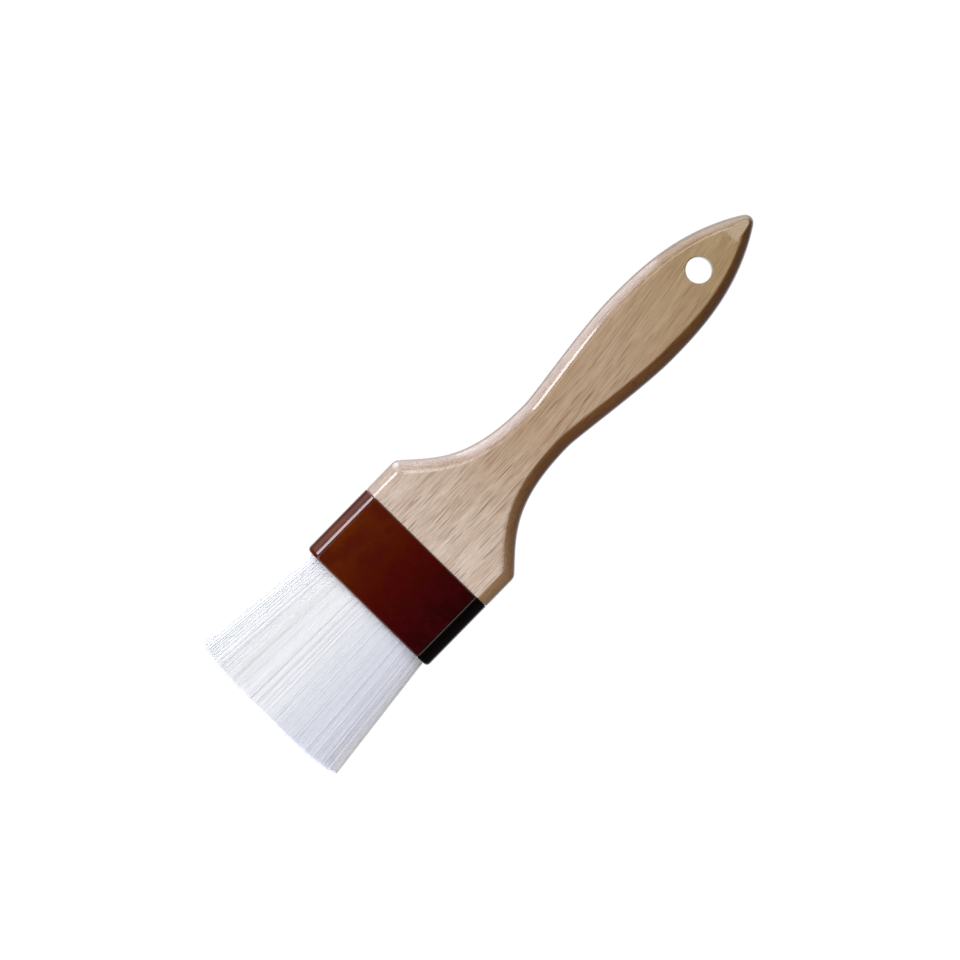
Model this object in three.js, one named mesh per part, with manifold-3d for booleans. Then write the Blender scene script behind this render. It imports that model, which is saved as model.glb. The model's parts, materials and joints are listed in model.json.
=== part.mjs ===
// A flat pastry brush: a lacquered wooden handle whose tenon is glued into a moulded plastic ferrule, and
// three banks of nylon filament set in epoxy inside the ferrule, with a filler strip between the banks.
// Millimetres. X is the width, Y the length with the handle's nose at +Y, and Z the thickness.
// The brush lies on its back on the plane z = 0, with the origin below the middle of its length.
import * as THREE from "three";
import { mergeVertices } from "three/addons/utils/BufferGeometryUtils.js";
import Module from "manifold-3d";

// The whole brush
const brushLength = 217.5;
const thickness = 15; // of the handle's board, and of the ferrule that is flush with it
const gap = 0.3; // left between pieces that touch

// The ferrule, a sleeve with two flat faces and two bowed sides
const ferruleLength = 26.5;
const ferruleWidth = 52.4;
const ferruleWall = 1.5;
const ferruleCorner = 1.5; // radius of its mouth's two corners, seen from the front
const sideBow = 4; // how far a bowed side stands out beyond the edges of the flat faces

// The handle, from the ferrule to the nose
const shoulderLength = 12.5; // straight stretch that carries on the ferrule's sides
const slopeLength = 2.6; // straight slope after the shoulder's corner
const slopeDrop = 2.4;
const neckAt = 53.6;
const neckWidth = 19.1;
const bellyAt = 95.7;
const bellyWidth = 27.5;
const noseRadius = 2.4;
const noseAngle = THREE.MathUtils.degToRad(33); // between the nose's sides and the brush's axis
const noseThickness = 7;
const noseTaper = 15; // length over which both faces run down to the nose
const holeAt = 121.3;
const holeRadius = 4.2;

// What the ferrule holds
const tenonDepth = 9;
const epoxyCap = 3; // solid epoxy between the tenon and the filament roots
const epoxyDepth = 10.5;
const epoxyRim = 0.5; // epoxy outside the outer banks
const stripThickness = 1;
const stripSetback = 3.5; // from the strips' ends to the ferrule's mouth
const bankNames = ["rear", "middle", "front"]; // from z = 0 upwards

// The free bristles
const bristleLength = 46; // from the mouth to the middle of the bristle ends
const packThickness = 11.4;
const packMouthWidth = 48.4;
const packEndWidth = 58.9;
const packEndCrown = 2.2; // how far the middle of the ends stands out beyond the corners
const packRounding = 2.2; // of the pack's long edges
const flexAt = 6.5; // from the mouth to the line that the free bristles bend about

const midHeight = thickness / 2;
const bristleEnd = -brushLength / 2;
const mouth = bristleEnd + bristleLength;
const ferruleTop = mouth + ferruleLength;
const nose = brushLength / 2;
const bowRadius = (midHeight ** 2 + sideBow ** 2) / (2 * sideBow);
const clear = 50; // more than any piece, for a cutter that runs right through

const wasm = await Module();
wasm.setup();

// A closed geometry as a solid that can be cut and joined.
function solid(geometry) {
  const bare = geometry.clone().deleteAttribute("normal").deleteAttribute("uv");
  const merged = mergeVertices(bare);
  return new wasm.Manifold(
    new wasm.Mesh({
      numProp: 3,
      vertProperties: merged.attributes.position.array,
      triVerts: new Uint32Array(merged.index.array),
    }),
  );
}

// A solid as a named mesh of the scene.
function piece(name, shape, material) {
  const cut = shape.getMesh();
  const geometry = new THREE.BufferGeometry();
  geometry.setAttribute("position", new THREE.BufferAttribute(cut.vertProperties, 3));
  geometry.setIndex(new THREE.BufferAttribute(cut.triVerts, 1));
  geometry.computeVertexNormals();
  const mesh = new THREE.Mesh(geometry, material);
  mesh.name = name;
  return mesh;
}

// An outline in X and Z, extruded along Y.
function alongY(outline, low, high, steps) {
  const geometry = new THREE.ExtrudeGeometry(outline, {
    depth: high - low,
    bevelEnabled: false,
    curveSegments: steps,
  });
  return solid(geometry.rotateX(Math.PI / 2).translate(0, high, midHeight));
}

// An outline in Y and Z, extruded across the whole width.
function acrossX(outline) {
  const geometry = new THREE.ExtrudeGeometry(outline, { depth: 2 * clear, bevelEnabled: false });
  const yToZ = new THREE.Matrix4().makeBasis(
    new THREE.Vector3(0, 1, 0),
    new THREE.Vector3(0, 0, 1),
    new THREE.Vector3(1, 0, 0),
  );
  return solid(geometry.applyMatrix4(yToZ).translate(-clear, 0, midHeight));
}

// An outline in X and Y, extruded through the whole thickness and beyond.
function throughZ(outline, steps) {
  const geometry = new THREE.ExtrudeGeometry(outline, {
    depth: 2 * clear,
    bevelEnabled: false,
    curveSegments: steps,
  });
  return solid(geometry.translate(0, 0, -clear));
}

// The flat slab between two heights.
function slab(low, high) {
  const box = new THREE.BoxGeometry(2 * clear, 2 * brushLength, high - low);
  return solid(box.translate(0, 0, (low + high) / 2));
}

// The ferrule's cross-section, drawn in by inset all round: two flats joined by two arcs.
function bowedSection(inset) {
  const radius = bowRadius - inset;
  const centre = ferruleWidth / 2 - bowRadius;
  const reach = Math.asin((midHeight - inset) / radius);
  const section = new THREE.Shape();
  section.absarc(centre, 0, radius, -reach, reach);
  section.absarc(-centre, 0, radius, Math.PI - reach, Math.PI + reach);
  return section;
}

// The inward step at each point of a chain, long enough to keep an even margin at a corner.
function inwardSteps(points) {
  const normals = points.slice(1).map((point, i) => {
    const along = point.clone().sub(points[i]).normalize();
    return new THREE.Vector2(-along.y, along.x);
  });
  return points.map((_, i) => {
    const before = normals[Math.max(i - 1, 0)];
    const after = normals[Math.min(i, normals.length - 1)];
    const both = before.clone().add(after);
    return both.multiplyScalar(2 / both.lengthSq());
  });
}

// A plate whose outline is an open chain of points, counter-clockwise. Its edge bows out from the
// two faces by bowAt(point), and the straight edge that closes the chain stays square.
function bowedPlate(points, bowAt, plateThickness) {
  const layers = 10;
  const half = plateThickness / 2;
  const reach = Math.asin(half / bowRadius);
  const steps = inwardSteps(points);
  const positions = [];
  const triangles = [];
  for (let layer = 0; layer <= layers; layer++) {
    const angle = reach * ((2 * layer) / layers - 1);
    const share = (1 - Math.cos(angle)) / (1 - Math.cos(reach));
    points.forEach((point, i) => {
      const at = point.clone().addScaledVector(steps[i], bowAt(point) * share);
      positions.push(at.x, at.y, midHeight + bowRadius * Math.sin(angle));
    });
  }
  const count = points.length;
  for (let layer = 0; layer < layers; layer++) {
    for (let i = 0; i < count; i++) {
      const here = layer * count + i;
      const next = layer * count + ((i + 1) % count);
      triangles.push(here, next, next + count, here, next + count, here + count);
    }
  }
  const rim = points.map((point, i) => point.clone().addScaledVector(steps[i], bowAt(point)));
  for (const [a, b, c] of THREE.ShapeUtils.triangulateShape(rim, [])) {
    triangles.push(c, b, a);
    triangles.push(a + layers * count, b + layers * count, c + layers * count);
  }
  const geometry = new THREE.BufferGeometry();
  geometry.setAttribute("position", new THREE.Float32BufferAttribute(positions, 3));
  geometry.setIndex(triangles);
  return solid(geometry);
}

// The points of curves that follow each other, each curve given with its number of steps, on the +X side,
// followed by their mirror image on the -X side.
function mirroredChain(...curves) {
  const right = curves.flatMap(([curve, steps], i) => curve.getPoints(steps).slice(i ? 1 : 0));
  const left = right.map((point) => new THREE.Vector2(-point.x, point.y)).reverse();
  return right.concat(left.slice(right.at(-1).x < 1e-6 ? 1 : 0));
}

function handleOutline() {
  const at = (halfWidth, along) => new THREE.Vector2(halfWidth, ferruleTop + along);
  const half = ferruleWidth / 2;
  const slopeEnd = shoulderLength + slopeLength;
  const slopeSteepness = slopeDrop / slopeLength;
  const tangentWidth = noseRadius * Math.cos(noseAngle);
  const tangentAt = nose - ferruleTop - noseRadius * (1 - Math.sin(noseAngle));
  const neck = neckWidth / 2;
  const belly = bellyWidth / 2;
  const shoulder = new THREE.LineCurve(at(half, 0), at(half, shoulderLength));
  const slope = new THREE.LineCurve(at(half, shoulderLength), at(half - slopeDrop, slopeEnd));
  const hollow = new THREE.CubicBezierCurve(
    at(half - slopeDrop, slopeEnd),
    at(half - slopeDrop - 8.5 * slopeSteepness, slopeEnd + 8.5),
    at(neck, neckAt - 23),
    at(neck, neckAt),
  );
  const swell = new THREE.CubicBezierCurve(
    at(neck, neckAt),
    at(neck, neckAt + 4),
    at(belly, bellyAt - 12),
    at(belly, bellyAt),
  );
  const point = new THREE.CubicBezierCurve(
    at(belly, bellyAt),
    at(belly, bellyAt + 12),
    at(tangentWidth + 18 * Math.tan(noseAngle), tangentAt - 18),
    at(tangentWidth, tangentAt),
  );
  const tip = new THREE.EllipseCurve(0, nose - noseRadius, noseRadius, noseRadius, noseAngle, Math.PI / 2);
  return mirroredChain([shoulder, 1], [slope, 1], [hollow, 16], [swell, 14], [point, 16], [tip, 5]);
}

// Both faces of the handle run down to the nose along an ellipse.
function handleSideView() {
  const drop = (thickness - noseThickness) / 2;
  const steps = 8;
  const upper = [];
  for (let i = 0; i <= steps; i++) {
    const turn = (Math.PI / 2) * (i / steps);
    upper.push(
      new THREE.Vector2(nose - noseTaper * (1 - Math.sin(turn)), midHeight - drop * (1 - Math.cos(turn))),
    );
  }
  const lower = upper.map((point) => new THREE.Vector2(point.x, -point.y)).reverse();
  const start = ferruleTop - clear;
  return new THREE.Shape([
    new THREE.Vector2(start, -midHeight),
    ...lower.toReversed(),
    ...upper.toReversed(),
    new THREE.Vector2(start, midHeight),
  ]);
}

function handle() {
  const rounding = (point) => Math.min(sideBow, 0.75 * Math.max(point.x, -point.x, noseRadius));
  const board = bowedPlate(handleOutline(), rounding, thickness).intersect(acrossX(handleSideView()));
  const tenon = alongY(bowedSection(ferruleWall + gap), ferruleTop - tenonDepth, ferruleTop + 1, 8);
  const hole = new THREE.Shape().absarc(0, ferruleTop + holeAt, holeRadius, 0, 2 * Math.PI);
  const wood = new THREE.MeshStandardMaterial({ color: 0xb89d82, roughness: 0.35, metalness: 0 });
  return piece("handle", board.add(tenon).subtract(throughZ(hole, 20)), wood);
}

function ferrule() {
  const half = ferruleWidth / 2;
  const top = ferruleTop - gap;
  const face = new THREE.Shape();
  face.moveTo(half, top);
  face.lineTo(-half, top);
  face.absarc(-half + ferruleCorner, mouth + ferruleCorner, ferruleCorner, Math.PI, 1.5 * Math.PI);
  face.absarc(half - ferruleCorner, mouth + ferruleCorner, ferruleCorner, 1.5 * Math.PI, 2 * Math.PI);
  const block = alongY(bowedSection(0), mouth, top, 16).intersect(throughZ(face, 5));
  const bore = alongY(bowedSection(ferruleWall), mouth - 1, top + 1, 16);
  const plastic = new THREE.MeshStandardMaterial({ color: 0x461003, roughness: 0.12, metalness: 0 });
  return piece("ferrule", block.subtract(bore), plastic);
}

const epoxyTop = ferruleTop - tenonDepth - gap;
const rootTop = epoxyTop - epoxyCap - gap;
const rootInset = ferruleWall + gap + epoxyRim + gap;
const rootStack = thickness - 2 * rootInset;
const rootThickness =
  (rootStack - (bankNames.length - 1) * (stripThickness + 2 * gap)) / bankNames.length;

// One block of cured epoxy, with a pocket that takes the filament roots and the strips between them.
function epoxySet() {
  const block = alongY(bowedSection(ferruleWall + gap), epoxyTop - epoxyDepth, epoxyTop, 8);
  const pocket = alongY(bowedSection(rootInset - gap), mouth, epoxyTop - epoxyCap, 8);
  const amber = new THREE.MeshStandardMaterial({ color: 0xb98a4a, roughness: 0.3, metalness: 0 });
  return piece("epoxy_set", block.subtract(pocket), amber);
}

// The length of a bank that is set in the ferrule, from the bottom of the pocket to the mouth.
function bristleRoots(name, index, material) {
  const low = rootInset + index * (rootThickness + stripThickness + 2 * gap);
  const rootBlock = alongY(bowedSection(rootInset), mouth, rootTop, 8);
  return piece("bristle_roots_" + name, rootBlock.intersect(slab(low, low + rootThickness)), material);
}

// A flat strip that keeps two banks apart, which leaves a reservoir between them.
function fillerStrip(name, index) {
  const low = rootInset + (index + 1) * (rootThickness + gap) + index * (stripThickness + gap);
  const stripBlock = alongY(bowedSection(rootInset), mouth + stripSetback, rootTop, 8);
  const card = new THREE.MeshStandardMaterial({ color: 0xc9a87c, roughness: 0.7, metalness: 0 });
  return piece("filler_strip_" + name, stripBlock.intersect(slab(low, low + stripThickness)), card);
}

// The free bristles together, seen from the front: they fan out to a slightly crowned end.
function packOutline() {
  const corner = packEndWidth / 2;
  const cornerAt = bristleEnd + packEndCrown;
  const crownRadius = (corner ** 2 + packEndCrown ** 2) / (2 * packEndCrown);
  const reach = Math.asin(corner / crownRadius);
  const down = -Math.PI / 2;
  const side = new THREE.LineCurve(
    new THREE.Vector2(corner, cornerAt),
    new THREE.Vector2(packMouthWidth / 2, mouth),
  );
  const end = new THREE.EllipseCurve(
    0, bristleEnd + crownRadius, crownRadius, crownRadius, down - reach, down + reach,
  );
  const right = side.getPoints(1);
  const left = right.map((point) => new THREE.Vector2(-point.x, point.y)).reverse();
  return left.concat(end.getPoints(12).slice(1, -1), right);
}

// The free bristles from the side: their root is a half round about the line that they bend about.
function packSideView() {
  const half = packThickness / 2;
  const flex = mouth - flexAt;
  const view = new THREE.Shape();
  view.moveTo(bristleEnd - 1, -half);
  view.lineTo(flex, -half);
  view.absarc(flex, 0, half, -Math.PI / 2, Math.PI / 2);
  view.lineTo(bristleEnd - 1, half);
  return view;
}

// The free length of a bank, a third of the pack.
function freeBristles(name, index, pack, material) {
  const count = bankNames.length;
  const share = (packThickness - (count - 1) * gap) / count;
  const low = midHeight - packThickness / 2 + index * (share + gap);
  return piece("bristles_" + name, pack.intersect(slab(low, low + share)), material);
}

function brush() {
  const group = new THREE.Group();
  group.add(handle(), ferrule(), epoxySet());
  group.add(fillerStrip("rear", 0), fillerStrip("front", 1));
  const nylon = new THREE.MeshStandardMaterial({ color: 0xe6e8f2, roughness: 0.45, metalness: 0 });
  const rounding = () => packRounding;
  const plate = bowedPlate(packOutline(), rounding, packThickness);
  const pack = plate.intersect(acrossX(packSideView()));
  bankNames.forEach((name, index) => {
    group.add(bristleRoots(name, index, nylon));
    group.add(freeBristles(name, index, pack, nylon));
  });
  return group;
}

export default brush();
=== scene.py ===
"""Looks of a flat pastry brush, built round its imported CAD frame.

Metres, in the frame's own axes: X is the brush's width, Y its length with the handle's nose at +Y, and Z
its thickness. The brush lies on its back on the plane z = 0.
"""

import json
import math

import bmesh
import bpy
import numpy as np
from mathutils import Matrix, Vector


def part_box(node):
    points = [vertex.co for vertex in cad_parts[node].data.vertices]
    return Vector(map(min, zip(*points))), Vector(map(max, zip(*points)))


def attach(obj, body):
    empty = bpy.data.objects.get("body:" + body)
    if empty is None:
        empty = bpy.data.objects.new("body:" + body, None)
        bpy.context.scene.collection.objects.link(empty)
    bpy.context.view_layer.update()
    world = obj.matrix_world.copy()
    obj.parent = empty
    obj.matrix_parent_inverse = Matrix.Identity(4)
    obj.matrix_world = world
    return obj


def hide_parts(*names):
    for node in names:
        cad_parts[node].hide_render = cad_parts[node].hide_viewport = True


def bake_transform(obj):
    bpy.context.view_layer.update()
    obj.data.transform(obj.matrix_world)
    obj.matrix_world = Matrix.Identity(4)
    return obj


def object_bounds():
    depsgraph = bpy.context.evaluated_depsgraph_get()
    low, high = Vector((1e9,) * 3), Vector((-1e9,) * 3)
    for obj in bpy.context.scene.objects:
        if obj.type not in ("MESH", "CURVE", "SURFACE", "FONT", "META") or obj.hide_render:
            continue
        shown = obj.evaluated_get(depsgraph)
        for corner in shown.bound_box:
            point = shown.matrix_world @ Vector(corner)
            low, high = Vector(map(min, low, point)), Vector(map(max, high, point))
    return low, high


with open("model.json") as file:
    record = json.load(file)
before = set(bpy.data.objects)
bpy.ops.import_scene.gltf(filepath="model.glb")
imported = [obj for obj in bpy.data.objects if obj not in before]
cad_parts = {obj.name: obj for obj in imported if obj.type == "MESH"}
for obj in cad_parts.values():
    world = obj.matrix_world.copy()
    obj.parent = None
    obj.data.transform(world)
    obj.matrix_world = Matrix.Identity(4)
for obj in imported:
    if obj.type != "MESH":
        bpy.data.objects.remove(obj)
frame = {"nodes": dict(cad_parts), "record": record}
cad_low, cad_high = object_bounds()

MM = 0.001
TINY = 1e-6

# The picture: how wide a view it takes in, and how the brush is turned and placed in it
VIEW_WIDTH = 300 * MM
LENS = 400.0  # in millimetres, as Blender has it
SENSOR = 36.0
BRUSH_SLOPE = math.radians(45.53)  # the brush's axis above the picture's horizontal
BRUSH_SHIFT = (8.7 * MM, 4.8 * MM)  # its middle from the picture's middle, to the right and up
FLOOR_DROP = 40 * MM  # the floor is this far under the brush, to leave room for bristles bent down

# Places and sizes that the frame gives
HANDLE_LOW, HANDLE_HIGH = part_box("handle")
FERRULE_LOW, FERRULE_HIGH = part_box("ferrule")
PACK_LOW, PACK_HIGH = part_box("bristles_middle")
EPOXY_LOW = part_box("epoxy_set")[0]
STRIP_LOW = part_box("filler_strip_front")[0]
REAR_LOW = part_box("bristles_rear")[0]
FRONT_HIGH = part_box("bristles_front")[1]
THICKNESS = FERRULE_HIGH.z
MID = THICKNESS / 2
HALF_WIDTH = FERRULE_HIGH.x
MOUTH = FERRULE_LOW.y
NOSE = HANDLE_HIGH.y
GLUE_GAP = 0.3 * MM  # the record says so
WALL = EPOXY_LOW.z - GLUE_GAP  # the ferrule's wall

# Edges and details too fine for the CAD part
SEAM = 0.22 * MM  # the open line between the ferrule and the wood
SEAM_DEPTH = 0.5 * MM
SEAM_FILLED = 0.9  # how much of the open line the wood's lip takes up below the surface
WOOD_FILLET = 2.4 * MM
FERRULE_FILLET = 2.2 * MM
TENON_FILLET = 0.4 * MM
MOUTH_CORNER = 1.3 * MM  # the sleeve's rounding at its mouth, seen from the front
MOUTH_RIM = 0.45 * MM  # and seen from the side
TOP_RIM = 0.25 * MM
INNER_RIM = 0.2 * MM
HOLE_FLARE = 0.3 * MM
NOSE_TAPER = 15 * MM
NOSE_SHARE = 7 / 15  # the nose's thickness as a share of the handle's
NOSE_BAND = 0.72  # the rounded sides' width at the nose as a share of their width elsewhere
NOSE_BAND_FROM = 45 * MM  # from the nose to where the sides begin to narrow
NOSE_BAND_LENGTH = 35 * MM
BAND_ROOM = 0.6  # the most of the half width that a rounded side takes
FERRULE_CROWN = 0.12 * MM
CROWN_FADE = 8 * MM  # the crown dies away over this length at each end
CORNER_EASE = 8 * MM  # the shoulder's corner bends the rings on each side of it as far as this
OUTLINE_STEP = 0.4 * MM
OUTLINE_SPREAD = 2.2  # steps that the outline is softened over
FACE_COLUMNS = 11

# Filaments
BANKS = ("rear", "middle", "front")
HEX_ROW = 0.866  # the height of a row of a hexagonal grid, in pitches
FILAMENT_PITCH = 0.305 * MM
PITCH_JITTER = 0.1  # as a share of the pitch
FILAMENT_RADIUS = 0.13 * MM
FILAMENT_SIDES = 5
TIP_SHARES = (0.92, 0.55)  # a filament's radius at its last two stations as a share of its own
MOUTH_ROOM = 0.35 * MM  # between the outermost filaments and the ferrule's wall
ROOT_ROOM = 0.4 * MM  # between the outermost roots and the sides of their bank
PACK_SPREAD = 0.1 * MM  # how far the filaments at the mouth stand out past the CAD banks
LENGTH_SPREAD = 0.14 * MM
LEAN_SPREAD = 0.035 * MM
TUFTS = ((5.5 * MM, 0.075 * MM), (2.2 * MM, 0.03 * MM))  # how far apart tufts are, and how far they lean
TUFT_LAYER = 3.2 * MM
MOST_LAYERS = 64  # more than the pack has
TUFT_SWAY = (0.35, 1.7 * MM)  # how far tufts wander from their columns, and over what height
LEAN_POWER = 1.6  # a lean grows with this power of the way to the tip
SWELL = 0.04  # how much thicker the pack is half way to its tips
SETTLE = 0.03  # and how much thinner at its tips
STATIONS = (0, 0.1, 0.25, 0.45, 0.65, 0.85, 0.985, 1)  # shares of a filament's free length
SEED = 7


# ---------------------------------------------------------------- meshes

def new_piece(name, mesh, body, slot, material, *nodes):
    """A piece that rides on a body, takes the material and stands for CAD nodes. Its slot is not used."""
    piece = bpy.data.objects.new(name, mesh)
    bpy.context.scene.collection.objects.link(piece)
    mesh.materials.clear()
    mesh.materials.append(material)
    if body:
        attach(piece, body)
    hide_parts(*nodes)
    return piece


def loft(name, rings, closed=False, sharp_above=30):
    """A closed surface through rings of equal length, with a cap at each end unless its ends join up."""
    rings = np.asarray(rings)
    count, size = rings.shape[:2]
    turns = count if closed else count - 1
    faces = [
        (
            r * size + i,
            r * size + (i + 1) % size,
            (r + 1) % count * size + (i + 1) % size,
            (r + 1) % count * size + i,
        )
        for r in range(turns)
        for i in range(size)
    ]
    if not closed:
        faces.append(tuple(range(size)))
        faces.append(tuple((count - 1) * size + i for i in range(size)))
    mesh = bpy.data.meshes.new(name)
    mesh.from_pydata(rings.reshape(-1, 3).tolist(), [], faces)
    built = bmesh.new()
    built.from_mesh(mesh)
    bmesh.ops.remove_doubles(built, verts=built.verts, dist=TINY)
    bmesh.ops.dissolve_degenerate(built, edges=built.edges, dist=TINY)
    bmesh.ops.recalc_face_normals(built, faces=built.faces)
    built.to_mesh(mesh)
    built.free()
    shade(mesh, sharp_above)
    return mesh


def shade(mesh, sharp_above):
    """Smooth shading, with edges that turn by more than that many degrees left sharp."""
    mesh.polygons.foreach_set("use_smooth", [True] * len(mesh.polygons))
    mesh.set_sharp_from_angle(angle=math.radians(sharp_above))


def cut_away(mesh, cutter_mesh, sharp_above):
    """The mesh less the cutter, as a new mesh."""
    target = bpy.data.objects.new("target", mesh)
    cutter = bpy.data.objects.new("cutter", cutter_mesh)
    for thing in (target, cutter):
        bpy.context.scene.collection.objects.link(thing)
    cut = target.modifiers.new("cut", "BOOLEAN")
    cut.operation = "DIFFERENCE"
    cut.solver = "EXACT"
    cut.object = cutter
    bpy.context.view_layer.update()
    seen = target.evaluated_get(bpy.context.evaluated_depsgraph_get())
    result = bpy.data.meshes.new_from_object(seen)
    for thing in (target, cutter):
        bpy.data.objects.remove(thing)
    shade(result, sharp_above)
    return result


def cad_points(node):
    """The corners of a CAD node's mesh, as rows of (x, y, z)."""
    return np.array([vertex.co for vertex in frame["nodes"][node].data.vertices])


def side_bow():
    """How far the rounded sides stand out past the flat faces, from the ferrule's CAD mesh."""
    points = cad_points("ferrule")
    return HALF_WIDTH - float(points[abs(points[:, 2] - THICKNESS) < TINY, 0].max())


def side_profile(half, bow, fillet, steps=9):
    """The side's rounding from mid-height to the flat face, as rows of (inset, height)."""
    radius = (half**2 + bow**2) / (2 * bow)
    across = math.sqrt((radius - fillet) ** 2 - (half - fillet) ** 2)
    meet = math.asin((half - fillet) / (radius - fillet))
    arc = [(radius * (1 - math.cos(t)), radius * math.sin(t)) for t in np.linspace(0, meet, steps)]
    round_off = [
        (radius - across - fillet * math.cos(t), half - fillet + fillet * math.sin(t))
        for t in np.linspace(meet, math.pi / 2, steps)
    ]
    return np.array(arc + round_off[1:])


def whole_side(profile):
    """A side's inset and height at each point from the back face's edge to the front face's."""
    inset = np.concatenate([profile[:0:-1, 0], profile[:, 0]])
    height = np.concatenate([-profile[:0:-1, 1], profile[:, 1]])
    return inset, height


def section_ring(half_width, y, profile, crown=0.0):
    """One cross-section ring: the +X side from below, the front face, the -X side and the back face."""
    inset, height = whole_side(profile)
    right = half_width - inset
    edge = right[-1]
    across = face_columns(edge)
    lift = profile[-1, 1] + crown * (1 - (across / edge) ** 2)
    flat = np.full_like(across, -profile[-1, 1])
    x = np.concatenate([right, across, -right[::-1], -across])
    z = np.concatenate([height, lift, height[::-1], flat])
    return np.column_stack([x, np.full_like(x, y), MID + z])


def face_columns(edge):
    """Places across a flat face, from +X to -X, with one close to each edge to keep the face's shading."""
    near = 0.97 * edge
    return np.linspace(near, -near, FACE_COLUMNS)


# ---------------------------------------------------------------- handle

def silhouette():
    """The +X half of the handle's outline at mid-height, from the shoulder's base to the nose."""
    points = cad_points("handle")
    level = points[(abs(points[:, 2] - MID) < TINY) & (points[:, 0] > -TINY)]
    widest = {}
    for x, y, _ in level:
        key = round(float(y), 6)
        widest[key] = max(float(x), widest.get(key, 0.0))
    base = max(y for y, x in widest.items() if abs(x - HALF_WIDTH) < TINY and y < MOUTH / 2)
    return np.array([(widest[y], y) for y in sorted(widest) if y > base - TINY])


def corner_index(points):
    """The point where the outline turns most: the shoulder's corner."""
    along = np.diff(points, axis=0)
    heading = np.unwrap(np.arctan2(along[:, 1], along[:, 0]))
    return int(np.argmax(np.diff(heading)[: len(points) // 2])) + 1


def curve_through(points, step):
    """Points about a step apart on a smooth curve through a run of points (centripetal Catmull-Rom)."""
    ends = [2 * points[0] - points[1], 2 * points[-1] - points[-2]]
    run = np.vstack([ends[0], points, ends[1]])
    made = []
    for p0, p1, p2, p3 in zip(run, run[1:], run[2:], run[3:]):
        count = max(1, round(float(np.linalg.norm(p2 - p1)) / step))
        t1 = np.linalg.norm(p1 - p0) ** 0.5
        t2 = t1 + np.linalg.norm(p2 - p1) ** 0.5
        t3 = t2 + np.linalg.norm(p3 - p2) ** 0.5
        for t in np.linspace(t1, t2, count, endpoint=False):
            a1 = p0 + (p1 - p0) * t / t1
            a2 = p1 + (p2 - p1) * (t - t1) / (t2 - t1)
            a3 = p2 + (p3 - p2) * (t - t2) / (t3 - t2)
            b1 = a1 + (a2 - a1) * t / t2
            b2 = a2 + (a3 - a2) * (t - t1) / (t3 - t1)
            made.append(b1 + (b2 - b1) * (t - t1) / (t2 - t1))
    return np.array(made + [points[-1]])


def softened(rows, spread):
    """Rows smoothed along a chain, whose far end is mirrored in X and whose near end runs straight on."""
    reach = int(3 * spread)
    before = rows[0] - (rows[1] - rows[0]) * np.arange(reach, 0, -1)[:, None]
    after = rows[-2 : -2 - reach : -1] * np.array([-1, 1])
    weights = np.exp(-0.5 * (np.arange(-reach, reach + 1) / spread) ** 2)
    weights /= weights.sum()
    long = np.vstack([before, rows, after])
    return np.column_stack([np.convolve(long[:, i], weights, mode="valid") for i in range(2)])


def handle_chain():
    """The outline's points, with the inward step at each that keeps an even margin round the corner."""
    points = silhouette()
    corner = corner_index(points)
    lower = curve_through(points[: corner + 1], OUTLINE_STEP)
    upper = curve_through(points[corner:], OUTLINE_STEP)
    chain = np.vstack([lower, upper[1:]])
    at = len(lower) - 1
    along = np.diff(chain, axis=0)
    along /= np.linalg.norm(along, axis=1)[:, None]
    tangent = np.vstack([along[0], along[:-1] + along[1:], along[-1]])
    tangent[at] = along[at - 1]
    tangent[-1] = (-1, 0)
    tangent /= np.linalg.norm(tangent, axis=1)[:, None]
    inward = np.column_stack([-tangent[:, 1], tangent[:, 0]])
    turn = math.acos(float(along[at - 1] @ along[at]))
    walked = np.concatenate([[0], np.cumsum(np.linalg.norm(np.diff(chain, axis=0), axis=1))])
    away = walked - walked[at]
    lean = math.tan(turn / 2) * np.clip(1 - abs(away) / CORNER_EASE, 0, 1)
    inward += tangent * (lean * np.where(away > 0, 1, -1))[:, None]
    return softened(chain, OUTLINE_SPREAD), softened(inward, OUTLINE_SPREAD)


def nose_share(y):
    """The handle's thickness at y as a share of its full thickness: both faces run down to the nose."""
    along = np.clip((y - (NOSE - NOSE_TAPER)) / NOSE_TAPER, 0, 1)
    return 1 - (1 - NOSE_SHARE) * (1 - np.sqrt(1 - along**2))


def band_share(chain, bow):
    """How wide the rounded side is at each point of the chain, as a share of its full width."""
    room = np.maximum(chain[:, 0], WOOD_FILLET)
    along = np.clip((chain[:, 1] - (NOSE - NOSE_BAND_FROM)) / NOSE_BAND_LENGTH, 0, 1)
    return np.minimum(1 - (1 - NOSE_BAND) * along, BAND_ROOM * room / bow)


def handle_rings(profile, bow):
    """The rings from the shoulder's base to the nose."""
    chain, inward = handle_chain()
    inset, height = whole_side(profile)
    rings = []
    for point, step, share in zip(chain, inward, band_share(chain, bow)):
        right = point + step * (inset * share)[:, None]
        across = face_columns(right[-1, 0])
        face_y = np.full_like(across, right[-1, 1])
        x = np.concatenate([right[:, 0], across, -right[::-1, 0], -across])
        y = np.concatenate([right[:, 1], face_y, right[::-1, 1], face_y])
        face_z = np.full_like(across, MID)
        z = np.concatenate([height, face_z, height[::-1], -face_z])
        rings.append(np.column_stack([x, y, MID + z * nose_share(y)]))
    return rings


def hole_place():
    """The hanging hole's centre along Y and its radius, from the record's opening and the CAD mesh."""
    points = cad_points("handle")
    opening = frame["record"]["physics"]["openings"][0]["box_m"]
    centre = (opening[0][1] + opening[1][1]) / 2
    reach = np.hypot(points[:, 0], points[:, 1] - centre)
    return centre, float(reach.min())


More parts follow.
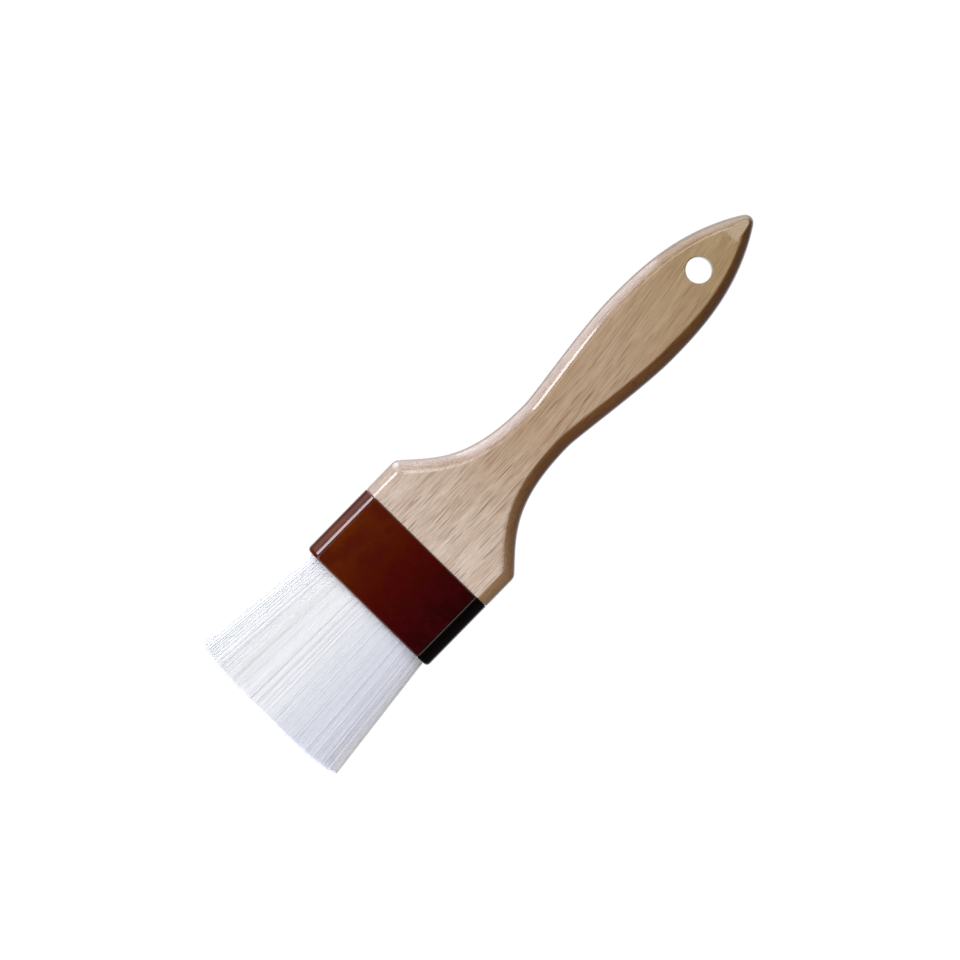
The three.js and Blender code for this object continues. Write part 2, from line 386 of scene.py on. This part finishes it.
def hole_cutter():
    """A round plug that widens in a small flare at both faces."""
    centre, radius = hole_place()
    turns = np.linspace(0, math.pi / 2, 8)
    flare = [(HOLE_FLARE * (1 - math.cos(t)), MID - HOLE_FLARE * (1 - math.sin(t))) for t in turns]
    flare.append((2 * HOLE_FLARE, MID + 1 * MM))
    profile = [(out, -height) for out, height in reversed(flare)] + flare
    angles = np.linspace(0, 2 * math.pi, 96, endpoint=False)
    rings = [
        np.column_stack(
            [
                (radius + out) * np.cos(angles),
                centre + (radius + out) * np.sin(angles),
                np.full_like(angles, MID + height),
            ]
        )
        for out, height in profile
    ]
    return loft("hole_cutter", rings)


def make_handle(material):
    """The wooden handle: tenon, shoulder, neck, belly and nose in one piece, with its hanging hole."""
    bow = side_bow()
    profile = side_profile(MID, bow, WOOD_FILLET)
    shrink = WALL + GLUE_GAP
    tenon_half = MID - shrink
    tenon = side_profile(tenon_half, bow * tenon_half / MID, TENON_FILLET)
    rings = handle_rings(profile, bow)
    base = rings[0][0, 1]
    lip = side_profile(MID - SEAM_DEPTH, bow * (1 - SEAM_DEPTH / MID), WOOD_FILLET - SEAM_DEPTH)
    lip_start = base - SEAM_FILLED * SEAM
    tenon_rings = [section_ring(HALF_WIDTH - shrink, y, tenon) for y in (HANDLE_LOW.y, lip_start)]
    tenon_rings += [section_ring(HALF_WIDTH - SEAM_DEPTH, y, lip) for y in (lip_start, base)]
    body = loft("handle_body", tenon_rings + rings, sharp_above=25)
    mesh = cut_away(body, hole_cutter(), sharp_above=25)
    return new_piece("wooden_handle", mesh, "handle", "lacquered_wood", material, "handle")


# ---------------------------------------------------------------- ferrule

def corner_inset(distance, radius):
    """How far a corner of that radius has drawn in at a distance from its end."""
    left = max(radius - distance, 0)
    return radius - math.sqrt(max(radius**2 - left**2, 0))


def make_ferrule(material):
    """The moulded sleeve: a thin wall with a slightly crowned front, a rounded mouth and a soft top."""
    bow = side_bow()
    top = float(silhouette()[0, 1]) - SEAM
    near_mouth = np.array([0, 0.01, 0.05, 0.12, 0.22, 0.35, 0.5, 0.75, 1.0, 1.3, 2.0]) * MM
    near_top = np.array([1.5, 0.7, 0.35, 0.25, 0.16, 0.08, 0.02, 0.0]) * MM

    def ring(y, draw_x, draw_z):
        """A ring at y, drawn in from the outside by those amounts. Only the outer rings are crowned."""
        profile = side_profile(MID - draw_z, bow, max(FERRULE_FILLET - draw_z, INNER_RIM))
        share = max(0, min(1, (y - MOUTH) / CROWN_FADE, (top - y) / CROWN_FADE))
        crown = FERRULE_CROWN * share if draw_z < WALL / 2 else 0
        return section_ring(HALF_WIDTH - draw_x, y, profile, crown)

    rings = []
    for distance in near_mouth:
        draw_x = corner_inset(distance, MOUTH_CORNER)
        rings.append(ring(MOUTH + distance, draw_x, corner_inset(distance, MOUTH_RIM)))
    for y in np.linspace(MOUTH + 4 * MM, top - 3 * MM, 8):
        rings.append(ring(y, 0, 0))
    for distance in near_top:
        draw = corner_inset(distance, TOP_RIM)
        rings.append(ring(top - distance, draw, draw))
    rings.append(ring(top, WALL, WALL))
    for distance in (0.3 * MM, 0.1 * MM, 0):
        draw = WALL - corner_inset(distance, INNER_RIM)
        rings.append(ring(MOUTH + distance, draw, draw))
    mesh = loft("ferrule_sleeve", rings, closed=True, sharp_above=40)
    return new_piece("ferrule_sleeve", mesh, "handle", "ferrule_plastic", material, "ferrule")


# ---------------------------------------------------------------- bristles

def hex_points(half_width, half_height, pitch, rng):
    """Points of a jittered hexagonal grid inside the pack's rounded section, in metres from its middle."""
    rows = int(half_height / (pitch * HEX_ROW)) + 1
    columns = int(half_width / pitch) + 1
    points = []
    for row in range(-rows, rows + 1):
        for column in range(-columns, columns + 1):
            points.append(((column + 0.5 * (row % 2)) * pitch, row * pitch * HEX_ROW))
    points = np.array(points) + rng.normal(0, PITCH_JITTER * pitch, (len(points), 2))
    inside = abs(points[:, 0] / half_width) ** 5 + (points[:, 1] / half_height) ** 2 < 1
    return points[inside]


def tufted(across, up, rng):
    """A small sideways and upward lean for each filament: filaments near each other lean together."""
    lean = np.zeros((len(across), 2))
    sway, sway_height = TUFT_SWAY
    for spacing, strength in TUFTS:
        columns = np.floor(across / spacing + sway * np.sin(up / sway_height)).astype(int)
        layers = np.floor(up / TUFT_LAYER).astype(int)
        keys = (columns - columns.min()) * MOST_LAYERS + (layers - layers.min())
        table = rng.normal(0, strength, (keys.max() + 1, 2))
        lean += table[keys]
    return lean + rng.normal(0, LEAN_SPREAD, lean.shape)


def filament_paths(rng):
    """Every filament's centre line, as (filament, station, xyz), with its place across and up."""
    half_height = (FRONT_HIGH.z - REAR_LOW.z) / 2 + PACK_SPREAD
    half_mouth = HALF_WIDTH - WALL - MOUTH_ROOM
    half_end = PACK_HIGH.x
    crown = cornered_end() - PACK_LOW.y
    roots = hex_points(half_mouth, half_height, FILAMENT_PITCH, rng)
    across, up = roots[:, 0], roots[:, 1]
    u, v = across / half_mouth, up / half_height
    lean = tufted(across, up, rng)
    bank_low, bank_high = bank_slabs(v)
    place_in_bank = (v + 1) * 1.5 % 1
    root_z = bank_low + (bank_high - bank_low) * place_in_bank
    root_x = u * (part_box("bristle_roots_rear")[1].x - ROOT_ROOM)
    length = MOUTH - PACK_LOW.y - crown * u**4 + rng.normal(0, LENGTH_SPREAD, len(u))
    root_places = (EPOXY_LOW.y + 1 * MM, STRIP_LOW.y)
    stations = [np.column_stack([root_x, np.full_like(root_x, y), root_z]) for y in root_places]
    for t in STATIONS:
        swell = 1 + SWELL * math.sin(math.pi * t) - SETTLE * t**2
        x = across + (half_end - half_mouth) * u * t + lean[:, 0] * t**LEAN_POWER
        z = MID + up * swell + lean[:, 1] * t**LEAN_POWER
        stations.append(np.column_stack([x, MOUTH - length * t, z]))
    return np.stack(stations, axis=1), u, v


def cornered_end():
    """The Y of the two outer corners of the bristles' crowned end, from the CAD mesh."""
    points = cad_points("bristles_middle")
    return float(points[points[:, 0] > PACK_HIGH.x - 0.05 * MM, 1].min())


def third_of(place):
    """Which third of the pack each filament is in: 0, 1 or 2, from its place between -1 and 1."""
    return np.clip(np.floor((place + 1) * 1.5), 0, 2).astype(int)


def bank_slabs(v):
    """The heights between which each filament's bank is set in the epoxy."""
    boxes = [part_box("bristle_roots_" + bank) for bank in BANKS]
    low = np.array([box[0].z for box in boxes]) + FILAMENT_RADIUS
    high = np.array([box[1].z for box in boxes]) - FILAMENT_RADIUS
    which = third_of(v)
    return low[which], high[which]


def tubes(name, paths, radii, tone):
    """One mesh of closed tubes, one along each path, with each filament's tone as a point attribute."""
    count, stations = paths.shape[:2]
    sides = FILAMENT_SIDES
    angles = np.linspace(0, 2 * math.pi, sides, endpoint=False)
    circle = np.column_stack([np.cos(angles), np.zeros(sides), np.sin(angles)])
    points = paths[:, :, None, :] + radii[None, :, None, None] * circle[None, None]
    first = np.arange(count)[:, None, None] * stations * sides
    ring = np.arange(stations - 1)[None, :, None] * sides
    here = np.arange(sides)[None, None, :]
    after = (here + 1) % sides
    quads = np.stack(
        [
            first + ring + here,
            first + ring + sides + here,
            first + ring + sides + after,
            first + ring + after,
        ],
        axis=-1,
    ).reshape(-1, 4)
    starts = np.arange(count)[:, None] * stations * sides
    root_caps = starts + np.arange(sides)[None, :]
    tip_caps = starts + (stations - 1) * sides + np.arange(sides)[::-1][None, :]
    mesh = bpy.data.meshes.new(name)
    mesh.from_pydata(
        points.reshape(-1, 3).tolist(), [], quads.tolist() + root_caps.tolist() + tip_caps.tolist()
    )
    mesh.polygons.foreach_set("use_smooth", [True] * len(mesh.polygons))
    attribute = mesh.attributes.new("tone", "FLOAT", "POINT")
    attribute.data.foreach_set("value", np.repeat(tone, stations * sides).astype(np.float32))
    return mesh


def make_bristles(material):
    """All the filaments, in nine pieces: the left, centre and right thirds of each of the three banks."""
    rng = np.random.default_rng(SEED)
    paths, u, v = filament_paths(rng)
    tone = rng.uniform(0, 1, len(u))
    radii = np.full(paths.shape[1], FILAMENT_RADIUS)
    radii[-2:] *= TIP_SHARES
    for layer, bank in enumerate(BANKS):
        for column, side in enumerate(("left", "centre", "right")):
            chosen = (third_of(v) == layer) & (third_of(u) == column)
            name = f"filaments_{bank}_{side}"
            mesh = tubes(name, paths[chosen], radii, tone[chosen])
            nodes = ("bristle_roots_" + bank, "bristles_" + bank)
            piece = new_piece(name, mesh, None, "nylon", material, *nodes)
            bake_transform(piece)


# ---------------------------------------------------------------- materials

def ramp(tree, value, low, high, to_low=0.0, to_high=1.0):
    """A value mapped from one range to another, smoothly and clamped."""
    node = tree.nodes.new("ShaderNodeMapRange")
    node.interpolation_type = "SMOOTHSTEP"
    limits = {"From Min": low, "From Max": high, "To Min": to_low, "To Max": to_high}
    for socket, number in limits.items():
        node.inputs[socket].default_value = number
    tree.links.new(value, node.inputs["Value"])
    return node.outputs["Result"]


class Nodes:
    """A material's node tree, with short ways to add and link nodes."""

    def __init__(self, name):
        self.material = bpy.data.materials.new(name)
        self.material.use_nodes = True
        self.tree = self.material.node_tree
        self.shader = self.tree.nodes["Principled BSDF"]
        self.place = self.add("ShaderNodeTexCoord").outputs["Object"]

    def add(self, kind, **settings):
        """A new node with some of its properties set."""
        node = self.tree.nodes.new(kind)
        for key, value in settings.items():
            setattr(node, key, value)
        return node

    def link(self, source, target):
        """Links an output socket to an input socket."""
        self.tree.links.new(source, target)

    def feed(self, socket, term):
        """Sets an input to a number or a colour, or links it to a socket."""
        if isinstance(term, tuple):
            socket.default_value = (*term, 1)
        elif isinstance(term, (int, float)):
            socket.default_value = term
        else:
            self.link(term, socket)

    def noise(self, scale, detail=3.0, roughness=0.55, distortion=0.0, offset=(0, 0, 0)):
        """A noise texture's value, its scale given along each axis, in features per metre."""
        mapping = self.add("ShaderNodeMapping")
        mapping.inputs["Location"].default_value = offset
        mapping.inputs["Scale"].default_value = scale
        self.link(self.place, mapping.inputs["Vector"])
        noise = self.add("ShaderNodeTexNoise")
        noise.inputs["Scale"].default_value = 1.0
        noise.inputs["Detail"].default_value = detail
        noise.inputs["Roughness"].default_value = roughness
        noise.inputs["Distortion"].default_value = distortion
        self.link(mapping.outputs["Vector"], noise.inputs["Vector"])
        return noise.outputs["Fac"]

    def ranged(self, value, low, high, to_low=0.0, to_high=1.0):
        """A value mapped from one range to another, smoothly and clamped."""
        return ramp(self.tree, value, low, high, to_low, to_high)

    def split(self, vector):
        """A vector's X, Y and Z."""
        node = self.add("ShaderNodeSeparateXYZ")
        self.link(vector, node.inputs["Vector"])
        return node.outputs

    def mix(self, share, first, second, blend="MIX"):
        """Two colours mixed, each given as a socket or as a colour."""
        node = self.add("ShaderNodeMix", data_type="RGBA", blend_type=blend)
        # Its colour sockets share their names with others, so they go by number
        self.feed(node.inputs["Factor"], share)
        self.feed(node.inputs[6], first)
        self.feed(node.inputs[7], second)
        return node.outputs[2]

    def math(self, operation, first, second):
        """Two numbers put together, each given as a socket or as a number."""
        node = self.add("ShaderNodeMath", operation=operation)
        self.feed(node.inputs[0], first)
        self.feed(node.inputs[1], second)
        return node.outputs[0]

    def follow_grain(self, start, curve):
        """Bends the texture's place so that its long direction turns slowly towards -X along +Y."""
        place = self.split(self.place)
        along = self.math("SUBTRACT", place["Y"], start)
        shift = self.math("MULTIPLY", self.math("MULTIPLY", along, along), curve)
        join = self.add("ShaderNodeCombineXYZ")
        self.link(self.math("ADD", place["X"], shift), join.inputs["X"])
        self.link(place["Y"], join.inputs["Y"])
        self.link(place["Z"], join.inputs["Z"])
        self.place = join.outputs["Vector"]

    def facing(self, name, low, high):
        """How far the surface faces along an axis, from 0 where its normal's share is low to 1 at high."""
        normal = self.add("ShaderNodeTexCoord").outputs["Normal"]
        return self.ranged(self.split(normal)[name], low, high)

    def axis(self, name):
        """One coordinate of the place on the object."""
        return self.split(self.place)[name]

    def bump(self, height, distance, strength=1.0):
        """Raises the surface where the height is high, by up to the distance in metres."""
        node = self.add("ShaderNodeBump")
        node.inputs["Strength"].default_value = strength
        node.inputs["Distance"].default_value = distance
        self.link(height, node.inputs["Height"])
        self.link(node.outputs["Normal"], self.shader.inputs["Normal"])

    def set(self, **values):
        """Sets sockets of the shader, named with _ for each space."""
        for name, value in values.items():
            self.shader.inputs[name.replace("_", " ")].default_value = value


def srgb(red, green, blue):
    """A colour given in 0 to 255 display values, as linear light."""
    def linear(value):
        value /= 255
        return value / 12.92 if value <= 0.04045 else ((value + 0.055) / 1.055) ** 2.4
    return linear(red), linear(green), linear(blue)


def lacquered_wood():
    """Pale, pinkish, close-grained wood with short dark pores, under a clear glossy lacquer.

    It is yellower towards the nose. Its -X edge is tinted rosier and its +X edge browner, partly the wood's
    own tone and partly painted light on the -X side and painted shade on the +X side.
    """
    wood = Nodes("lacquered_wood")
    wood.follow_grain(start=-30 * MM, curve=0.75)
    bands = wood.ranged(wood.noise((300, 11, 300), detail=4, distortion=0.4), 0.36, 0.64)
    fibres = wood.ranged(wood.noise((2000, 85, 2000), detail=4, roughness=0.7), 0.32, 0.68)
    to_neck = wood.ranged(wood.axis("Y"), -0.04, 0.02)
    to_nose = wood.ranged(wood.axis("Y"), 0.03, 0.11)
    pale_low = wood.mix(to_neck, srgb(216, 201, 189), srgb(186, 161, 133))
    deep_low = wood.mix(to_neck, srgb(205, 186, 170), srgb(175, 148, 117))
    pale = wood.mix(to_nose, pale_low, srgb(171, 147, 103))
    deep = wood.mix(to_nose, deep_low, srgb(160, 134, 87))
    ground = wood.mix(bands, pale, deep)
    fibred = wood.mix(fibres, ground, wood.mix(0.27, ground, srgb(120, 84, 58)))
    mottle = wood.ranged(wood.noise((1400, 420, 1400), detail=3, offset=(5.5, 2.2, 8.1)), 0.3, 0.7, 0, 0.16)
    mottled = wood.mix(mottle, fibred, srgb(150, 112, 88))
    fine = wood.noise((4400, 110, 4400), detail=1, roughness=0.3, offset=(6.4, 0.7, 2.9))
    hairs = wood.ranged(fine, 0.545, 0.66)
    pores = wood.ranged(wood.noise((3400, 85, 3400), detail=0, offset=(3.1, 7.7, 1.3)), 0.665, 0.74)
    marks = wood.math("MAXIMUM", wood.math("MULTIPLY", hairs, 0.42), wood.math("MULTIPLY", pores, 0.75))
    pored = wood.mix(marks, mottled, srgb(122, 92, 68))
    # Painted light and shade: surfaces facing +X are multiplied browner as painted shade, and those facing
    # -X rosier as painted light, partly the wood's own tone
    tan = wood.mix(to_neck, srgb(214, 190, 155), srgb(186, 148, 98))
    brown = wood.mix(1.0, pored, tan, "MULTIPLY")
    painted_light_rosy = wood.mix(1.0, pored, srgb(226, 216, 208), "MULTIPLY")
    painted_light_edge = wood.mix(wood.facing("X", -0.2, -0.7), pored, painted_light_rosy)
    sides_painted_lit_and_shaded = wood.mix(wood.facing("X", 0.2, 0.6), painted_light_edge, brown)
    wood.link(sides_painted_lit_and_shaded, wood.shader.inputs["Base Color"])
    wood.link(wood.ranged(fibres, 0, 1, 0.42, 0.54), wood.shader.inputs["Roughness"])
    wood.bump(marks, -0.03 * MM, 0.5)
    wood.set(Coat_Weight=1.0, Coat_Roughness=0.1, Coat_IOR=1.5, Specular_IOR_Level=0.6)
    wood.set(Sheen_Weight=0.2, Sheen_Roughness=0.4)
    return wood.material


def brown_plastic():
    """Dark brown glossy moulding, painted olive brown at -X as light getting into it, deep red towards +X
    as shade, and painted near black on the +X side as shade.
    """
    plastic = Nodes("brown_plastic")
    # Painted light and shade: olive brown where light gets into the thin moulding at -X, deep red towards
    # the shaded +X
    across = plastic.ranged(plastic.axis("X"), -0.026, 0.002)
    toward_painted_shade = plastic.ranged(plastic.axis("X"), -0.004, 0.020)
    warm = plastic.mix(across, srgb(88, 33, 4), srgb(66, 9, 2))
    deep = plastic.mix(toward_painted_shade, warm, srgb(39, 3, 4))
    cloud = plastic.ranged(plastic.noise((130, 90, 130), detail=3), 0.4, 0.62, 0, 0.45)
    clouded = plastic.mix(cloud, deep, srgb(62, 3, 8))
    # Painted shade: the +X side of the sleeve turns near black
    painted_shade_side = plastic.ranged(plastic.axis("X"), 0.0208, 0.0222)
    plastic.link(plastic.mix(painted_shade_side, clouded, srgb(12, 7, 7)), plastic.shader.inputs["Base Color"])
    smudges = plastic.ranged(plastic.noise((700, 700, 700), detail=2), 0.3, 0.7, 0.1, 0.16)
    plastic.link(smudges, plastic.shader.inputs["Roughness"])
    plastic.bump(plastic.noise((140, 60, 140), detail=1), 0.02 * MM, 0.6)
    plastic.set(IOR=1.5)
    return plastic.material


def white_nylon():
    """White nylon filament with a faint cool tint, which differs a little from filament to filament,
    painted darker and cooler towards +X as shade.
    """
    nylon = Nodes("white_nylon")
    tone = nylon.add("ShaderNodeAttribute", attribute_name="tone")
    streaks = nylon.ranged(nylon.noise((420, 14, 300), detail=2), 0.35, 0.65)
    # Painted shade: the filaments turn darker and cooler towards +X
    shaded_side_share = nylon.ranged(nylon.axis("X"), -0.012, 0.024)
    plain = nylon.mix(streaks, srgb(247, 250, 252), srgb(247, 247, 253))
    painted_shade_cooled = nylon.mix(shaded_side_share, plain, srgb(226, 230, 243))
    toned = nylon.mix(nylon.ranged(tone.outputs["Fac"], 0, 1, 0, 0.2), painted_shade_cooled, srgb(224, 228, 240))
    nylon.link(toned, nylon.shader.inputs["Base Color"])
    nylon.link(nylon.ranged(tone.outputs["Fac"], 0, 1, 0.34, 0.48), nylon.shader.inputs["Roughness"])
    nylon.set(IOR=1.53, Specular_IOR_Level=0.4)
    return nylon.material


def amber_epoxy():
    """Cured epoxy, amber and slightly cloudy."""
    epoxy = Nodes("amber_epoxy")
    cloud = epoxy.ranged(epoxy.noise((300, 300, 300), detail=3), 0.3, 0.7)
    epoxy.link(epoxy.mix(cloud, srgb(186, 140, 76), srgb(158, 112, 54)), epoxy.shader.inputs["Base Color"])
    epoxy.link(epoxy.ranged(cloud, 0, 1, 0.18, 0.3), epoxy.shader.inputs["Roughness"])
    return epoxy.material


def strip_wood():
    """Unfinished sawn wood of the filler strips, its grain across the brush."""
    wood = Nodes("strip_wood")
    grain = wood.ranged(wood.noise((30, 900, 900), detail=4), 0.3, 0.7)
    wood.link(wood.mix(grain, srgb(214, 190, 150), srgb(176, 146, 104)), wood.shader.inputs["Base Color"])
    wood.link(wood.ranged(grain, 0, 1, 0.65, 0.85), wood.shader.inputs["Roughness"])
    wood.bump(grain, 0.05 * MM)
    return wood.material


def paint_node(name, material):
    """A CAD node keeps its shape and gets a better material."""
    node = frame["nodes"][name]
    if not node.data.materials:
        node.data.materials.append(material)
    for place in node.material_slots:
        place.material = material


# ---------------------------------------------------------------- studio

def make_camera():
    """A long lens straight above the brush, turned and moved to frame it."""
    data = bpy.data.cameras.new("camera")
    data.lens = LENS
    data.sensor_width = SENSOR
    camera = bpy.data.objects.new("camera", data)
    bpy.context.scene.collection.objects.link(camera)
    turn = math.pi / 2 - BRUSH_SLOPE
    right = np.array([math.cos(turn), math.sin(turn)])
    up = np.array([-math.sin(turn), math.cos(turn)])
    middle = np.array([(cad_low.x + cad_high.x) / 2, (cad_low.y + cad_high.y) / 2])
    x, y = middle - right * BRUSH_SHIFT[0] - up * BRUSH_SHIFT[1]
    camera.location = (x, y, MID + VIEW_WIDTH * LENS / SENSOR)
    camera.rotation_euler = (0, 0, turn)
    bpy.context.scene.camera = camera


def make_floor(emission):
    """A plain pale floor, which neither lights the brush nor shows in its gloss nor shades it."""
    bpy.ops.mesh.primitive_plane_add(size=8, location=(0, 0, -FLOOR_DROP))
    floor = bpy.context.object
    floor.name = "floor"
    paint = Nodes("floor_paint")
    grain = paint.ranged(paint.noise((3, 3, 3), detail=1), 0.3, 0.7)
    paint.link(paint.mix(grain, srgb(60, 60, 61), srgb(63, 63, 63)), paint.shader.inputs["Base Color"])
    paint.set(Roughness=0.9, Specular_IOR_Level=0.0)
    paint.set(Emission_Color=(1, 1, 1, 1), Emission_Strength=emission)
    floor.data.materials.append(paint.material)
    floor.visible_diffuse = False
    floor.visible_glossy = False
    floor.visible_shadow = False


def make_area_light(name, place, target, size, power, colour=(1, 1, 1)):
    """A soft rectangular light at a place, facing a target. Its size is across and then up and down."""
    data = bpy.data.lights.new(name, "AREA")
    data.shape = "RECTANGLE"
    data.size, data.size_y = size
    data.energy = power
    data.color = colour
    lamp = bpy.data.objects.new(name, data)
    bpy.context.scene.collection.objects.link(lamp)
    lamp.location = place
    aim = np.array(target) - np.array(place)
    lamp.rotation_euler = Vector(aim).to_track_quat("-Z", "Y").to_euler()
    return lamp


def make_world():
    """A glow low down beyond the top of the picture and another from straight below.

    The camera itself sees an even, nearly white backdrop instead.
    """
    world = bpy.data.worlds.new("studio")
    bpy.context.scene.world = world
    world.use_nodes = True
    tree = world.node_tree
    tree.nodes.clear()
    direction = tree.nodes.new("ShaderNodeTexCoord").outputs["Generated"]
    split = tree.nodes.new("ShaderNodeSeparateXYZ")
    along = tree.nodes.new("ShaderNodeVectorMath")
    product = tree.nodes.new("ShaderNodeMath")
    total = tree.nodes.new("ShaderNodeMath")
    glow = tree.nodes.new("ShaderNodeBackground")
    backdrop = tree.nodes.new("ShaderNodeBackground")
    path = tree.nodes.new("ShaderNodeLightPath")
    mix = tree.nodes.new("ShaderNodeMixShader")
    output = tree.nodes.new("ShaderNodeOutputWorld")
    tree.links.new(direction, split.inputs["Vector"])
    tree.links.new(direction, along.inputs[0])
    along.operation = "DOT_PRODUCT"
    along.inputs[1].default_value = (-math.cos(BRUSH_SLOPE), math.sin(BRUSH_SLOPE), 0)
    product.operation = "MULTIPLY"
    tree.links.new(ramp(tree, along.outputs["Value"], 0.45, 0.85, 0.03, 1.8), product.inputs[0])
    tree.links.new(ramp(tree, split.outputs["Z"], 0.15, -0.35, 0.05, 1.0), product.inputs[1])
    tree.links.new(product.outputs["Value"], total.inputs[0])
    tree.links.new(ramp(tree, split.outputs["Z"], -0.75, -0.98, 0.0, 0.8), total.inputs[1])
    tree.links.new(total.outputs["Value"], glow.inputs["Strength"])
    glow.inputs["Color"].default_value = (0.90, 0.92, 1.0, 1)
    backdrop.inputs["Color"].default_value = (0.985, 0.985, 0.985, 1)
    tree.links.new(path.outputs["Is Camera Ray"], mix.inputs["Fac"])
    tree.links.new(glow.outputs["Background"], mix.inputs[1])
    tree.links.new(backdrop.outputs["Background"], mix.inputs[2])
    tree.links.new(mix.outputs["Shader"], output.inputs["Surface"])


def make_studio():
    """The floor, the surroundings and the lights."""
    make_floor(emission=0.98)
    make_world()
    middle = (0, 0, MID)
    shoulder = (0, -0.085, MID)
    cool = (0.96, 0.99, 1.05)
    blue = (0.90, 0.95, 1.1)
    orange = (1.0, 0.62, 0.28)
    cream = (1.0, 0.88, 0.72)
    make_area_light("key", (-0.68, -0.085, 0.21), shoulder, (0.17, 0.32), 1.9, cool)
    make_area_light("side", (-0.30, 0.05, -0.08), (0, 0.05, MID), (0.14, 0.36), 0.36, blue)
    make_area_light("top_nose", (-0.32, 0.56, 0.72), middle, (0.9, 0.9), 7.0)
    make_area_light("top_end", (-0.32, -0.56, 0.72), middle, (0.9, 0.9), 6.1)
    make_area_light("warm", (0.34, 0.50, 0.20), middle, (0.3, 0.3), 0.30, orange)
    make_area_light("rim", (0.26, -0.10, 0.62), middle, (0.40, 0.14), 0.34)
    make_area_light("end_fill", (0.12, -0.55, -0.02), (0, -0.1, MID), (0.3, 0.3), 1.8)
    low_fill = make_area_light("low_fill", (0.16, -0.15, 0.09), (0, -0.05, MID), (0.1, 0.1), 0.13, cream)
    low_fill.visible_glossy = False
    low_fill.visible_camera = False
    bpy.context.scene.view_settings.view_transform = "Standard"


# ---------------------------------------------------------------- the scene

make_camera()
make_handle(lacquered_wood())
make_ferrule(brown_plastic())
make_bristles(white_nylon())
paint_node("epoxy_set", amber_epoxy())
strips = strip_wood()
for strip in ("filler_strip_rear", "filler_strip_front"):
    paint_node(strip, strips)
make_studio()
